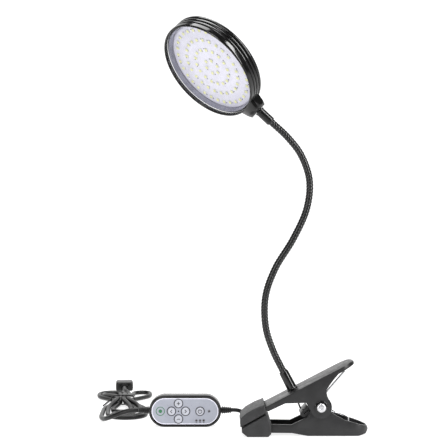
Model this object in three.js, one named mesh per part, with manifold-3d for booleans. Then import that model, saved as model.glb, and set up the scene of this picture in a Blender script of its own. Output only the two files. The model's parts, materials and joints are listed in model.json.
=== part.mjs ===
// Clip-on LED grow light: a round lamp head on a gooseneck, a sprung clip, a controller and a USB lead.
// Millimetres, +Z up. The origin is on the surface the clip stands on, straight under the clip's pivot.
// The clip's jaws point along -X, and the controller's buttons face -Y.
import * as THREE from "three";
import { mergeVertices } from "three/addons/utils/BufferGeometryUtils.js";
import Module from "manifold-3d";

const wasm = await Module();
wasm.setup();

// ---- driving dimensions ----
const GAP = 0.3; // clearance kept between separate pieces
const V = (x, y, z) => new THREE.Vector3(x, y, z);
const RAD = THREE.MathUtils.degToRad;

const PIVOT_Z = 19.7;
const PIVOT_HOLE_R = 2.1;
const PIN_R = 1.8;
const RIVET_HEAD_R = 3.2;
const WASHER_R = 4.5;
const EAR_R = 7.5; // rounded ears of both arms around the pivot
const UPPER_TILT = 27.3; // slope of the upper arm's plate at rest, degrees
const UPPER_HALF = 12.3; // half width over the upper arm's side webs
const UPPER_WALL = 2;
const PLATE_TOP = 17.7; // upper plate's outer face above the pivot, square to the plate
const PLATE_UNDER = 15.5;
const LOWER_HALF = 10;
const LOWER_WALL = 1.8;
const CAP_WIDTH = 30; // both rubber jaw caps
const NECK_FOOT = -11.8; // where the neck stands on the upper plate, along the plate from the pivot
const GLAND = { x: -6, z: 6.5, bodyR: 2.2, flangeR: 3.3, tip: 17 }; // where the cord leaves the clip
const SPRING = { wireR: 0.7, coilR: 3.3, halfWidth: 6.5, lowerLeg: 21.5, upperLeg: 29 };
const LEAD_R = 0.6; // thin lead inside the clip and the head

const NECK_R = 2.5;
const NECK_BORE_R = NECK_R + 0.35; // in both ferrules
const NECK_LINKS = 7;
const NECK_STUB = 8; // fixed length of neck at each ferrule
const FERRULE_LENGTH = 14;
const UPPER_FERRULE_LENGTH = 11.2;
const FERRULE_R = 3.25; // at the mouth
const FERRULE_FOOT_R = 3.9; // flange of the lower one
const FERRULE_SEAT = 5; // depth of the neck in either ferrule
const STUD_R = 2; // stud behind either ferrule

const HEAD_R = 37.5;
const HEAD_DEPTH = 13.8;
const LIGHT_DIRECTION = V(-0.588, -0.485, -0.639).normalize();
const HEAD_LEAD_LEVEL = -9.45; // between the board and the cavity's floor
const HEAD_REACH = 44.5; // head centre to the neck block's end
const NECK_LEVEL = -6.1; // neck axis behind the front rim
const CAVITY_R = 35.6;
const CAVITY_FLOOR = -12; // heights in the head are below its front rim
const RIB_ROOT_R = 36.7; // between the ribs, and inside the front rim
const LENS_R = 36.4;
const LENS_BACK = -2.4;
const LENS_FRONT = -1;
const BOARD_R = 35.1;
const BOARD_BACK = -8.5;
const BOARD_FRONT = -7.1;
const LED_SHEET_R = 33.8;
const LED_SHEET_TOP = -6.5;
const LED_HALF = 0.9;
const LED_RINGS = [
  [5.5, 6],
  [14, 16],
  [22, 24],
  [29.8, 32],
];

const CONTROL_LENGTH = 51.5;
const CONTROL_HEIGHT = 22.6;
const CONTROL_DEPTH = 10;
const CONTROL_CENTRE = V(-93.7, 26, CONTROL_HEIGHT / 2);
const CONTROL_WALL = 1.6;
const BUTTON_R = 2.7;
const BUTTON_PLACES = [
  ["button_up", -4.6, 5.5],
  ["button_left", -9.6, 0],
  ["button_right", 0.4, 0],
  ["button_down", -4.6, -5.5],
  ["button_power", 10.7, 0],
];
const INDICATOR_PLACES = [
  [8.1, -6.6],
  [10.7, -6.6],
  [13.3, -6.6],
  [17.1, 0],
];
const RELIEF_LENGTH = 7;
const RELIEF_NECK_R = 1.9;
const LABEL = { length: 47.3, height: 18.4, thick: 0.5 };
const LABEL_SEAT = { length: 47.9, height: 19 };
const CASE_FRONT_WALL = 1.2;
const CIRCUIT = { length: 44.5, height: 17.5, thick: 1.2 };
const SWITCH_HALF = 2;
const WINDOW_R = 0.9;
const PIPE_R = 0.6;

const LAMP_CORD_R = 1.4;
const USB_CORD_R = 1.7;

// The plug lead is a flat hank on the floor. Its own axes start at the tie:
// along runs away from the controller, side runs towards the clip.
const HANK_TIE = V(-146.6, 112, 0);
const HANK_TURN = 5.6; // degrees the hank leans to the left of +Y
const HANK_HEIGHT = 7.4;
const PLUG_SIDE = 1.5; // the plug's axis in the hank's frame
const PLUG_START = 64;
const PLUG_Z = 3.75;
const USB_SHELL = { width: 12, height: 4.5, out: 11.8, wall: 0.4 };
const MOULD = { width: 14.6, height: 7.5, length: 15.5 };
const BOOT = { width: 6.3, height: 5, length: 4.8 };

// ---- solids ----
function solidOf(geometry) {
  const bare = new THREE.BufferGeometry();
  bare.setAttribute("position", geometry.getAttribute("position"));
  if (geometry.index) bare.setIndex(geometry.index);
  const merged = mergeVertices(bare, 1e-4);
  const index = merged.index.array;
  const kept = [];
  for (let i = 0; i < index.length; i += 3) {
    const [a, b, c] = [index[i], index[i + 1], index[i + 2]];
    if (a !== b && b !== c && c !== a) kept.push(a, b, c);
  }
  const mesh = new wasm.Mesh({
    numProp: 3,
    vertProperties: merged.attributes.position.array,
    triVerts: new Uint32Array(kept),
  });
  return new wasm.Manifold(mesh);
}

function geometryOf(solid) {
  const mesh = solid.getMesh();
  const geometry = new THREE.BufferGeometry();
  geometry.setAttribute("position", new THREE.BufferAttribute(mesh.vertProperties, 3));
  geometry.setIndex(new THREE.BufferAttribute(mesh.triVerts, 1));
  geometry.computeVertexNormals();
  return geometry;
}

// Turns the faces of a geometry round if they point inwards.
function facingOut(geometry) {
  if (solidOf(geometry).volume() > 0) return geometry;
  const index = geometry.index;
  for (let i = 0; i < index.count; i += 3) {
    const [a, b] = [index.getX(i), index.getX(i + 1)];
    index.setX(i, b);
    index.setX(i + 1, a);
  }
  return geometry;
}

function combine(how, first, others) {
  let result = solidOf(first);
  for (const other of others) result = result[how](solidOf(other));
  return geometryOf(result);
}
const join = (first, ...others) => combine("add", first, others);
const cut = (first, ...others) => combine("subtract", first, others);
const common = (first, ...others) => combine("intersect", first, others);

// ---- shapes ----
const outline = (points) => new THREE.Shape(points.map(([x, y]) => new THREE.Vector2(x, y)));

// A shape drawn in X and Y, standing on z and rising by height.
function upright(shape, z, height, bevel = 0, curveSegments = 7) {
  const geometry = new THREE.ExtrudeGeometry(shape, {
    depth: height - 2 * bevel,
    bevelEnabled: bevel > 0,
    bevelThickness: bevel,
    bevelSize: bevel,
    bevelOffset: -bevel,
    bevelSegments: 2,
    curveSegments,
  });
  return geometry.translate(0, 0, z + bevel);
}

// A side profile drawn in X and Z, as wide as width and centred on y = 0.
function across(shape, width, bevel = 0) {
  return upright(shape, -width / 2, width, bevel).rotateX(Math.PI / 2);
}

function box(x0, x1, y0, y1, z0, z1) {
  const geometry = new THREE.BoxGeometry(x1 - x0, y1 - y0, z1 - z0);
  return geometry.translate((x0 + x1) / 2, (y0 + y1) / 2, (z0 + z1) / 2);
}

// A round bar along +Z from z0 to z1.
function bar(radius, z0, z1, sides = 14) {
  const geometry = new THREE.CylinderGeometry(radius, radius, z1 - z0, sides);
  return geometry.rotateX(Math.PI / 2).translate(0, 0, (z0 + z1) / 2);
}
const alongX = (geometry) => geometry.rotateY(Math.PI / 2);
const alongY = (geometry) => geometry.rotateX(-Math.PI / 2);

// A turned piece about +Z; each point of the profile is a radius and a height.
function turned(profile, segments = 36) {
  const points = profile.map(([r, z]) => new THREE.Vector2(r, z));
  return facingOut(new THREE.LatheGeometry(points, segments).rotateX(Math.PI / 2));
}
const turnedRing = (profile, segments) => turned([...profile, profile[0]], segments);

// A straight round bar between two points.
function strut(from, to, radius) {
  const span = to.clone().sub(from);
  const geometry = bar(radius, 0, span.length(), 8);
  const turn = new THREE.Quaternion().setFromUnitVectors(V(0, 0, 1), span.normalize());
  return geometry.applyQuaternion(turn).translate(from.x, from.y, from.z);
}

function tube(points, radius, steps) {
  const circle = new THREE.Shape().absarc(0, 0, radius, 0, 2 * Math.PI);
  return new THREE.ExtrudeGeometry(circle, {
    extrudePath: new THREE.CatmullRomCurve3(points),
    steps,
    curveSegments: 4,
    bevelEnabled: false,
  });
}

function stadium(length, height) {
  const r = height / 2;
  const x = length / 2 - r;
  const shape = new THREE.Shape();
  shape.absarc(x, 0, r, -Math.PI / 2, Math.PI / 2);
  shape.absarc(-x, 0, r, Math.PI / 2, 1.5 * Math.PI);
  return shape;
}

// A long outline with straight sides and a rounded end, for the arms seen from above.
function armPlan(start, endCentre, end, half) {
  const shape = new THREE.Shape();
  shape.moveTo(start, half);
  shape.lineTo(start, -half);
  shape.absellipse(endCentre, 0, end - endCentre, half, -Math.PI / 2, Math.PI / 2);
  return shape;
}

// ---- materials ----
function finish(color, roughness, metalness = 0, extra = {}) {
  return new THREE.MeshStandardMaterial({ color, roughness, metalness, ...extra });
}
const CLIP_PLASTIC = finish(0x3c3d40, 0.45);
const CAP_RUBBER = finish(0x4a4b4e, 0.6);
const GLOSS_BLACK = finish(0x0c0c0e, 0.15);
const NECK_METAL = finish(0x151517, 0.25, 0.6);
const STEEL = finish(0xc9ccd0, 0.25, 1);
const BRASS = finish(0xc9a54a, 0.3, 1);
const CORD_BLACK = finish(0x141416, 0.5);
const BOARD_WHITE = finish(0xe9e8f2, 0.5);
const WALL_LAVENDER = finish(0xb9b6cc, 0.4);
const LENS_CLEAR = finish(0xf4f6fb, 0.05, 0, { transparent: true, opacity: 0.25 });
const LABEL_GREY = finish(0xcfd2dc, 0.35);
const BUTTON_WHITE = finish(0xf2f3f6, 0.4);
const PCB_GREEN = finish(0x1d5a38, 0.5);
const LIGHT_PIPE = finish(0xb03a32, 0.3);

function add(parent, name, geometry, material) {
  const mesh = new THREE.Mesh(geometry, material);
  mesh.name = name;
  parent.add(mesh);
  return mesh;
}

// ---- clip: lower arm, fixed on the floor ----
// Profiles below are drawn in X and Z; the pivot is at (0, PIVOT_Z).
function lowerArmProfile() {
  const shape = outline([
    [-44, 2.2],
    [-20, 2],
    [-9, 0],
    [26, 0],
    [31, 1.2],
    [33, 3.6],
    [32, 6],
    [23.5, 8.7],
    [16.2, 10.7],
    [6.6, 16.1],
  ]);
  shape.absarc(0, PIVOT_Z, EAR_R, RAD(-28), RAD(200));
  shape.lineTo(-9.5, 12.6);
  shape.lineTo(-20, 7.6);
  shape.lineTo(-44, 8);
  return shape;
}

function lowerArm() {
  const channelProfile = outline([
    [-46, 4.4],
    [-20, 4.2],
    [-9, 2.2],
    [26, 2.2],
    [34, 4.2],
    [34, 40],
    [-46, 40],
  ]);
  const body = common(
    across(lowerArmProfile(), 2 * LOWER_HALF),
    upright(armPlan(-44, 22, 33, LOWER_HALF), -1, 40),
  );
  const channel = common(
    across(channelProfile, 2 * LOWER_HALF),
    upright(armPlan(-46, 22, 33 - LOWER_WALL, LOWER_HALF - LOWER_WALL), -1, 60),
  );
  const pinHole = alongY(bar(PIVOT_HOLE_R, -20, 20)).translate(0, 0, PIVOT_Z);
  const glandHole = alongY(bar(GLAND.bodyR + GAP, 5, 15)).translate(GLAND.x, 0, GLAND.z);
  return cut(body, channel, pinHole, glandHole);
}

function lowerCap() {
  const shape = outline([
    [-50.2, 0],
    [-36, 0],
    [-34, 2],
    [-33.8, 8],
    [-35.8, 14],
    [-37.8, 15],
    [-54, 6],
    [-53.9, 3],
  ]);
  const pocket = box(-44 - GAP, -30, -LOWER_HALF - GAP, LOWER_HALF + GAP, 1.7, 8.4);
  return cut(across(shape, CAP_WIDTH, 1.2), pocket);
}

// Clamp between the lower arm's webs that holds the lead coming down from the neck.
function leadClamp() {
  const shape = outline([
    [-14, 14.4],
    [-13.4, 13.2],
    [-7.7, 10.4],
    [-7.7, 17.3],
    [-9.4, 20],
    [-12.8, 16.4],
  ]);
  const slot = box(-1.9, 1.9, -10, 10, -0.55, 0.55);
  slot.rotateY(RAD(-38)).translate(-9.9, 0, 16.2);
  return cut(across(shape, 2 * (LOWER_HALF - LOWER_WALL - GAP)), slot);
}

function cordGland() {
  const profile = [
    [0, 6],
    [GLAND.bodyR, 6],
    [GLAND.bodyR, LOWER_HALF + GAP],
    [GLAND.flangeR, LOWER_HALF + GAP],
    [GLAND.flangeR, LOWER_HALF + 1.5],
    [GLAND.bodyR, LOWER_HALF + 1.8],
    [1.8, GLAND.tip],
    [0, GLAND.tip],
  ];
  return alongY(turned(profile, 20)).translate(GLAND.x, 0, GLAND.z);
}

const WASHER_IN = UPPER_HALF + GAP;
const WASHER_OUT = WASHER_IN + 0.6;
const RIVET_HEAD = WASHER_OUT + GAP;

function pivotRivet() {
  const headTop = RIVET_HEAD + 1.2;
  const profile = [
    [0, -headTop],
    [2.6, -headTop],
    [RIVET_HEAD_R, -headTop + 0.5],
    [RIVET_HEAD_R, -RIVET_HEAD],
    [PIN_R, -RIVET_HEAD],
    [PIN_R, RIVET_HEAD],
    [RIVET_HEAD_R, RIVET_HEAD],
    [RIVET_HEAD_R, headTop - 0.5],
    [2.6, headTop],
    [0, headTop],
  ];
  return alongY(turned(profile, 24)).translate(0, 0, PIVOT_Z);
}

function washer(side) {
  const ring = turnedRing(
    [
      [PIVOT_HOLE_R, WASHER_IN],
      [WASHER_R, WASHER_IN],
      [WASHER_R, WASHER_OUT],
      [PIVOT_HOLE_R, WASHER_OUT],
    ],
    24,
  );
  if (side < 0) ring.rotateX(Math.PI);
  return alongY(ring).translate(0, 0, PIVOT_Z);
}

// Torsion spring: the coil round the rivet as one ring, and a leg along each handle.
function springLeg(angle, length, y) {
  const along = V(Math.cos(angle), 0, Math.sin(angle));
  const outward = V(-Math.sin(angle), 0, Math.cos(angle)).multiplyScalar(Math.sign(angle) * SPRING.coilR);
  const from = outward.add(V(0, y, PIVOT_Z));
  const to = from.clone().addScaledVector(along, length);
  return [from, to];
}

function torsionSpring() {
  const inner = SPRING.coilR - SPRING.wireR;
  const outer = SPRING.coilR + SPRING.wireR;
  const width = SPRING.halfWidth;
  const coil = turnedRing(
    [
      [inner, -width],
      [outer, -width],
      [outer, width],
      [inner, width],
    ],
    20,
  );
  alongY(coil).translate(0, 0, PIVOT_Z);
  const legY = width - SPRING.wireR;
  const [lowerFrom, lowerTo] = springLeg(RAD(-16), SPRING.lowerLeg, legY);
  const [upperFrom, upperTo] = springLeg(RAD(21.6 + UPPER_TILT), SPRING.upperLeg, -legY);
  const hookEnd = lowerTo.clone().add(V(0.6, 0, -4.2));
  return join(
    coil,
    strut(lowerFrom, lowerTo, SPRING.wireR),
    strut(lowerTo.clone().add(V(-0.2, 0, 0.3)), hookEnd, SPRING.wireR),
    strut(upperFrom, upperTo, SPRING.wireR),
  );
}

// ---- clip: upper arm, in a frame at the pivot whose X runs along its plate ----
function upperArmProfile() {
  const shape = outline([
    [-42, PLATE_TOP],
    [-42, PLATE_UNDER],
    [-34.5, PLATE_UNDER],
    [-33, 14.2],
    [-20.4, 13.7],
    [-7.6, 7.5],
    [-7.8, 3.7],
  ]);
  shape.absarc(0, 0, EAR_R, RAD(-165), RAD(-56));
  shape.lineTo(5.2, -3);
  shape.lineTo(6.1, 0.4);
  shape.lineTo(7.1, 4.3);
  shape.lineTo(8.2, 8.7);
  shape.quadraticCurveTo(14, 12.4, 21, 14.9);
  shape.lineTo(33.5, 15.2);
  shape.quadraticCurveTo(36, 17, 31, PLATE_TOP);
  return shape;
}

function upperArm() {
  const body = common(
    across(upperArmProfile(), 2 * UPPER_HALF),
    upright(armPlan(-42, 23, 35, UPPER_HALF), -20, 60),
  );
  const inside = upright(
    armPlan(-44, 23, 35 - UPPER_WALL, UPPER_HALF - UPPER_WALL),
    -30,
    30 + PLATE_UNDER,
  );
  const pinHole = alongY(bar(PIVOT_HOLE_R, -20, 20));
  const studHole = bar(STUD_R + GAP, PLATE_UNDER - 5, PLATE_TOP + 5).translate(NECK_FOOT, 0, 0);
  return cut(body, inside, pinHole, studHole);
}

function upperCapInPlace() {
  const shape = outline([
    [-38.2, 15.7],
    [-37.4, 18.4],
    [-38.6, 22.2],
    [-45, 19.6],
    [-51, 16.2],
    [-54.4, 13],
    [-55.2, 9.6],
    [-54.9, 6.5],
  ]);
  return across(shape, CAP_WIDTH, 1.2);
}

// The cap is drawn where it sits, then moved into the tilted arm's frame and pocketed there.
function upperCap() {
  const cap = upperCapInPlace().translate(0, 0, -PIVOT_Z).rotateY(RAD(UPPER_TILT));
  const half = UPPER_HALF + GAP;
  const pocket = box(-42 - GAP, -30, -half, half, PLATE_UNDER - GAP, PLATE_TOP + GAP);
  return cut(cap, pocket);
}

function lowerFerrule() {
  const foot = PLATE_TOP + GAP;
  const top = foot + FERRULE_LENGTH;
  const profile = [
    [0, foot - 6],
    [STUD_R, foot - 6],
    [STUD_R, foot],
    [FERRULE_FOOT_R, foot],
    [FERRULE_FOOT_R, foot + 1],
    [FERRULE_R + 0.25, foot + 1.2],
    [FERRULE_R, top - 0.5],
    [NECK_BORE_R, top],
    [NECK_BORE_R, top - FERRULE_SEAT],
    [0, top - FERRULE_SEAT],
  ];
  return turned(profile, 24).translate(NECK_FOOT, 0, 0);
}

function ferruleNut() {
  const nut = bar(5.2, PLATE_UNDER - 3.3, PLATE_UNDER - GAP, 6);
  const hole = bar(STUD_R + GAP, 0, 20);
  return cut(nut, hole).translate(NECK_FOOT, 0, 0);
}

// ---- gooseneck ----
// Centreline in the plane y = 0, from the lower ferrule's mouth to the upper one's.
const NECK_POINTS = [
  [-24.9, 42.1],
  [-32.2, 57],
  [-37.2, 73],
  [-37.4, 94],
  [-30.8, 113.2],
  [-18.2, 134],
  [-8.9, 155],
  [-7.1, 174.5],
  [-13, 192],
  [-22.3, 204.2],
  [-33.4, 214.6],
].map(([x, z]) => V(x, 0, z));
const NECK_CURVE = new THREE.CatmullRomCurve3(NECK_POINTS, false, "centripetal");
const NECK_LENGTH = NECK_CURVE.getLength();

// Bends a piece drawn along +Y so that its Y follows the neck, from the neck length given.
function alongNeck(geometry, start) {
  const position = geometry.getAttribute("position");
  const vertex = new THREE.Vector3();
  for (let i = 0; i < position.count; i += 1) {
    vertex.fromBufferAttribute(position, i);
    const share = THREE.MathUtils.clamp((start + vertex.y) / NECK_LENGTH, 0, 1);
    const beyond = start + vertex.y - share * NECK_LENGTH;
    const tangent = NECK_CURVE.getTangentAt(share);
    const side = V(tangent.z, 0, -tangent.x);
    const centre = NECK_CURVE.getPointAt(share).addScaledVector(tangent, beyond);
    centre.addScaledVector(side, vertex.x).add(V(0, vertex.z, 0));
    position.setXYZ(i, centre.x, centre.y, centre.z);
  }
  return geometry;
}

// One stretch of neck with rounded ends, between two lengths along the neck.
function neckPiece(from, to) {
  const length = to - from;
  const straight = length - 2 * NECK_R;
  const capsule = new THREE.CapsuleGeometry(NECK_R, straight, 2, 10, Math.max(2, Math.round(straight / 6)));
  capsule.translate(0, length / 2, 0);
  return facingOut(alongNeck(capsule, from));
}

function addNeck(parent) {
  const link = (NECK_LENGTH - 2 * NECK_STUB) / NECK_LINKS;
  add(parent, "neck_root", neckPiece(-4, NECK_STUB - GAP / 2), NECK_METAL);
  for (let i = 0; i < NECK_LINKS; i += 1) {
    const from = NECK_STUB + i * link + GAP / 2;
    add(parent, `neck_link_${i + 1}`, neckPiece(from, from + link - GAP), NECK_METAL);
  }
  const tipStart = NECK_LENGTH - NECK_STUB + GAP / 2;
  add(parent, "neck_tip", neckPiece(tipStart, NECK_LENGTH + 4), NECK_METAL);
}

// ---- lamp head, in a frame whose +Z is where the light goes and +X points to the neck ----
const BEZEL_BACK = -3.3;
const HOUSING_FRONT = BEZEL_BACK - GAP;

function headHousingProfile() {
  const profile = [
    [0, -HEAD_DEPTH],
    [31, -HEAD_DEPTH],
    [34.8, 0.6 - HEAD_DEPTH],
    [36.4, 1.4 - HEAD_DEPTH],
  ];
  const ribs = 3;
  const firstRib = 1.8 - HEAD_DEPTH;
  const pitch = (HOUSING_FRONT - firstRib) / ribs;
  for (let i = 0; i < ribs; i += 1) {
    const z = firstRib + i * pitch;
    const top = z + pitch - 0.5;
    profile.push([RIB_ROOT_R, z], [HEAD_R, z + 0.3], [HEAD_R, top - 0.3], [RIB_ROOT_R, top]);
  }
  profile.push([RIB_ROOT_R, HOUSING_FRONT], [CAVITY_R, HOUSING_FRONT]);
  profile.push([CAVITY_R, CAVITY_FLOOR], [0, CAVITY_FLOOR]);
  return profile;
}

function neckBlock(z0, z1, inner) {
  const end = HEAD_REACH - GAP;
  const plan = outline([
    [inner, -8.5],
    [end - 2.4, -6.2],
    [end, -4.2],
    [end, 4.2],
    [end - 2.4, 6.2],
    [inner, 8.5],
  ]);
  return upright(plan, z0, z1 - z0);
}
const neckBore = () => alongX(bar(STUD_R + GAP, 37.8, 60)).translate(0, 0, NECK_LEVEL);

function headHousing() {
  const block = neckBlock(-10.6, HOUSING_FRONT, 35.7);
  return cut(join(turned(headHousingProfile()), block), neckBore());
}

function headBezel() {
  const ring = turnedRing([
    [36.1, -0.7],
    [36.1, 0],
    [37, 0],
    [HEAD_R, -0.5],
    [HEAD_R, BEZEL_BACK],
    [RIB_ROOT_R, BEZEL_BACK],
    [RIB_ROOT_R, -0.7],
  ]);
  return join(ring, neckBlock(BEZEL_BACK, -0.6, 36.9));
}

function lens() {
  return bar(LENS_R, LENS_BACK, LENS_FRONT, 36);
}

function reflectorWall() {
  return turnedRing([
    [34.2, LED_SHEET_TOP],
    [CAVITY_R - GAP, LED_SHEET_TOP],
    [CAVITY_R - GAP, LENS_BACK - GAP],
    [35, LENS_BACK - GAP],
  ]);
}

function ledBoard() {
  return bar(BOARD_R, BOARD_BACK, BOARD_FRONT, 36);
}

function ledArray() {
  const packages = [];
  for (const [radius, count] of LED_RINGS) {
    for (let i = 0; i < count; i += 1) {
      const led = box(
        radius - LED_HALF,
        radius + LED_HALF,
        -LED_HALF,
        LED_HALF,
        LED_SHEET_TOP - 0.1,
        LED_SHEET_TOP + 0.6,
      );
      packages.push(led.rotateZ((2 * Math.PI * i) / count));
    }
  }
  return join(bar(LED_SHEET_R, -6.8, LED_SHEET_TOP, 36), ...packages);
}

function housingScrew(angle) {
  const top = -HEAD_DEPTH - GAP;
  const head = turned(
    [
      [0, top - 0.9],
      [1.7, top - 0.9],
      [2.2, top - 0.4],
      [2.2, top],
      [0, top],
    ],
    16,
  );
  return head.translate(27, 0, 0).rotateZ(angle);
}

function headLead() {
  return alongX(bar(LEAD_R, 8, 34, 8)).translate(0, 0, HEAD_LEAD_LEVEL);
}

function upperFerrule() {
  const start = HEAD_REACH;
  const end = start + UPPER_FERRULE_LENGTH;
  const profile = [
    [0, start - 5.5],
    [STUD_R, start - 5.5],
    [STUD_R, start],
    [FERRULE_R, start],
    [FERRULE_R, end - 0.6],
    [NECK_BORE_R, end],
    [NECK_BORE_R, end - FERRULE_SEAT],
    [0, end - FERRULE_SEAT],
  ];
  return alongX(turned(profile, 24)).translate(0, 0, NECK_LEVEL);
}

function headFrame() {
  const neckEnd = NECK_CURVE.getPointAt(1);
  const inward = NECK_CURVE.getTangentAt(1); // from the neck's end towards the head's middle
  const outward = inward.clone().negate();
  outward.addScaledVector(LIGHT_DIRECTION, -outward.dot(LIGHT_DIRECTION)).normalize();
  const sideways = LIGHT_DIRECTION.clone().cross(outward);
  const frame = new THREE.Group();
  const basis = new THREE.Matrix4().makeBasis(outward, sideways, LIGHT_DIRECTION);
  frame.quaternion.setFromRotationMatrix(basis);
  frame.position.copy(neckEnd);
  frame.position.addScaledVector(outward, -(HEAD_REACH + UPPER_FERRULE_LENGTH));
  frame.position.addScaledVector(LIGHT_DIRECTION, -NECK_LEVEL);
  return frame;
}

function addHead(parent) {
  const head = headFrame();
  parent.add(head);
  add(head, "head_housing", headHousing(), GLOSS_BLACK);
  add(head, "head_bezel", headBezel(), GLOSS_BLACK);
  add(head, "lens", lens(), LENS_CLEAR);
  add(head, "reflector_wall", reflectorWall(), WALL_LAVENDER);
  add(head, "led_board", ledBoard(), BOARD_WHITE);
  add(head, "led_array", ledArray(), BOARD_WHITE);
  add(head, "head_lead", headLead(), CORD_BLACK);
  add(head, "upper_ferrule", upperFerrule(), GLOSS_BLACK);
  for (let i = 0; i < 3; i += 1) {
    const angle = Math.PI + (i * 2 * Math.PI) / 3;
    add(head, `housing_screw_${i + 1}`, housingScrew(angle), STEEL);
  }
}

// ---- controller, in a frame whose X is its length, Y its height and +Z its front ----
const HALF_DEPTH = CONTROL_DEPTH / 2;
const CASE_SPLIT = -0.5;
const LABEL_BACK = HALF_DEPTH - LABEL.thick;
const FACE_TOP = LABEL_BACK - GAP; // front case's face under the label
const PCB_TOP = -1.2;

function caseShell(z0, z1, floorZ0, floorZ1) {
  const inner = stadium(CONTROL_LENGTH - 2 * CONTROL_WALL, CONTROL_HEIGHT - 2 * CONTROL_WALL);
  const shell = upright(stadium(CONTROL_LENGTH, CONTROL_HEIGHT), z0, z1 - z0);
  return cut(shell, upright(inner, floorZ0, floorZ1 - floorZ0));
}

function frontCase() {
  const shell = caseShell(CASE_SPLIT + GAP / 2, HALF_DEPTH, -5, FACE_TOP - CASE_FRONT_WALL);
  const labelSeat = upright(stadium(LABEL_SEAT.length, LABEL_SEAT.height), FACE_TOP, 5);
  const holes = BUTTON_PLACES.map(([, x, y]) => bar(BUTTON_R + GAP, -5, 8).translate(x, y, 0));
  const windows = INDICATOR_PLACES.map(([x, y]) => bar(WINDOW_R, -5, 8, 10).translate(x, y, 0));
  return cut(shell, labelSeat, ...holes, ...windows, ...reliefHoles());
}

function rearCase() {
  const shell = caseShell(-HALF_DEPTH, CASE_SPLIT - GAP / 2, -HALF_DEPTH + CONTROL_WALL, 5);
  return cut(shell, ...reliefHoles());
}

function reliefHoles() {
  return [-1, 1].map((side) => {
    const hole = alongX(bar(RELIEF_NECK_R + GAP, CONTROL_LENGTH / 2 - 4, CONTROL_LENGTH / 2 + 2));
    return side > 0 ? hole : hole.rotateZ(Math.PI);
  });
}

function labelPlate() {
  const plate = upright(stadium(LABEL.length, LABEL.height), LABEL_BACK, LABEL.thick);
  const holes = BUTTON_PLACES.map(([, x, y]) => bar(BUTTON_R + GAP, 0, 8).translate(x, y, 0));
  const windows = INDICATOR_PLACES.map(([x, y]) => bar(WINDOW_R, 0, 8, 10).translate(x, y, 0));
  return cut(plate, ...holes, ...windows);
}

const SWITCH_TOP = PCB_TOP + 1.7;

// The circuit board with a small square switch soldered on behind each button.
function controllerBoard() {
  const plan = stadium(CIRCUIT.length, CIRCUIT.height);
  const board = upright(plan, PCB_TOP - CIRCUIT.thick, CIRCUIT.thick);
  const half = SWITCH_HALF;
  const switches = BUTTON_PLACES.map(([, x, y]) =>
    box(x - half, x + half, y - half, y + half, PCB_TOP - 0.5, SWITCH_TOP),
  );
  return join(board, ...switches);
}

// One clear light guide: a thin web over the board and a pipe up to each window.
function lightGuide() {
  const web = box(7.4, 17.8, -7.3, -5.9, PCB_TOP + GAP, PCB_TOP + 1);
  const riser = box(16.4, 17.8, -7.3, 0.7, PCB_TOP + GAP, PCB_TOP + 1);
  const pipes = INDICATOR_PLACES.map(([x, y]) =>
    bar(PIPE_R, PCB_TOP + 0.5, HALF_DEPTH + 0.1, 10).translate(x, y, 0),
  );
  return join(web, riser, ...pipes);
}

const BUTTON_BACK = SWITCH_TOP + 0.8;

function button() {
  const flange = FACE_TOP - CASE_FRONT_WALL - GAP;
  const profile = [
    [0, BUTTON_BACK],
    [BUTTON_R + 0.7, BUTTON_BACK],
    [BUTTON_R + 0.7, flange],
    [BUTTON_R, flange],
    [BUTTON_R, HALF_DEPTH + 0.5],
    [BUTTON_R - 0.4, HALF_DEPTH + 0.9],
    [0, HALF_DEPTH + 0.9],
  ];
  return turned(profile, 16);
}

function strainRelief(side) {
  const start = CONTROL_LENGTH / 2 + GAP;
  const profile = [
    [0, start - 3.4],
    [RELIEF_NECK_R, start - 3.4],
    [RELIEF_NECK_R, start],
  ];
  const ribs = 4;
  const pitch = RELIEF_LENGTH / ribs;
  for (let i = 0; i < ribs; i += 1) {
    const z = start + i * pitch;
    const r = 2.6 - 0.15 * i;
    profile.push([r, z], [r, z + 0.6 * pitch], [r - 0.5, z + 0.6 * pitch], [r - 0.5, z + pitch]);
  }
  profile.push([0, start + RELIEF_LENGTH]);
  const relief = alongX(turned(profile, 12));
  return side > 0 ? relief : relief.rotateZ(Math.PI);
}

function caseScrew(side) {
  const z = -HALF_DEPTH - GAP;
  return turned(
    [
      [0, z - 0.8],
      [1.4, z - 0.8],
      [1.8, z - 0.3],
      [1.8, z],
      [0, z],
    ],
    14,
  ).translate(side * 18, 0, 0);
}

function addController(parent) {
  const controller = new THREE.Group();
  controller.position.copy(CONTROL_CENTRE);
  controller.rotation.x = Math.PI / 2;
  parent.add(controller);
  add(controller, "controller_front_case", frontCase(), GLOSS_BLACK);
  add(controller, "controller_rear_case", rearCase(), GLOSS_BLACK);
  add(controller, "controller_label", labelPlate(), LABEL_GREY);
  add(controller, "controller_board", controllerBoard(), PCB_GREEN);
  for (const [name, x, y] of BUTTON_PLACES) {
    const cap = add(controller, name, button(), BUTTON_WHITE);
    cap.position.set(x, y, 0);
  }
  add(controller, "light_guide", lightGuide(), LIGHT_PIPE);
  add(controller, "relief_lamp_side", strainRelief(1), CORD_BLACK);
  add(controller, "relief_usb_side", strainRelief(-1), CORD_BLACK);
  add(controller, "case_screw_left", caseScrew(-1), STEEL);
  add(controller, "case_screw_right", caseScrew(1), STEEL);
}

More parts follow.
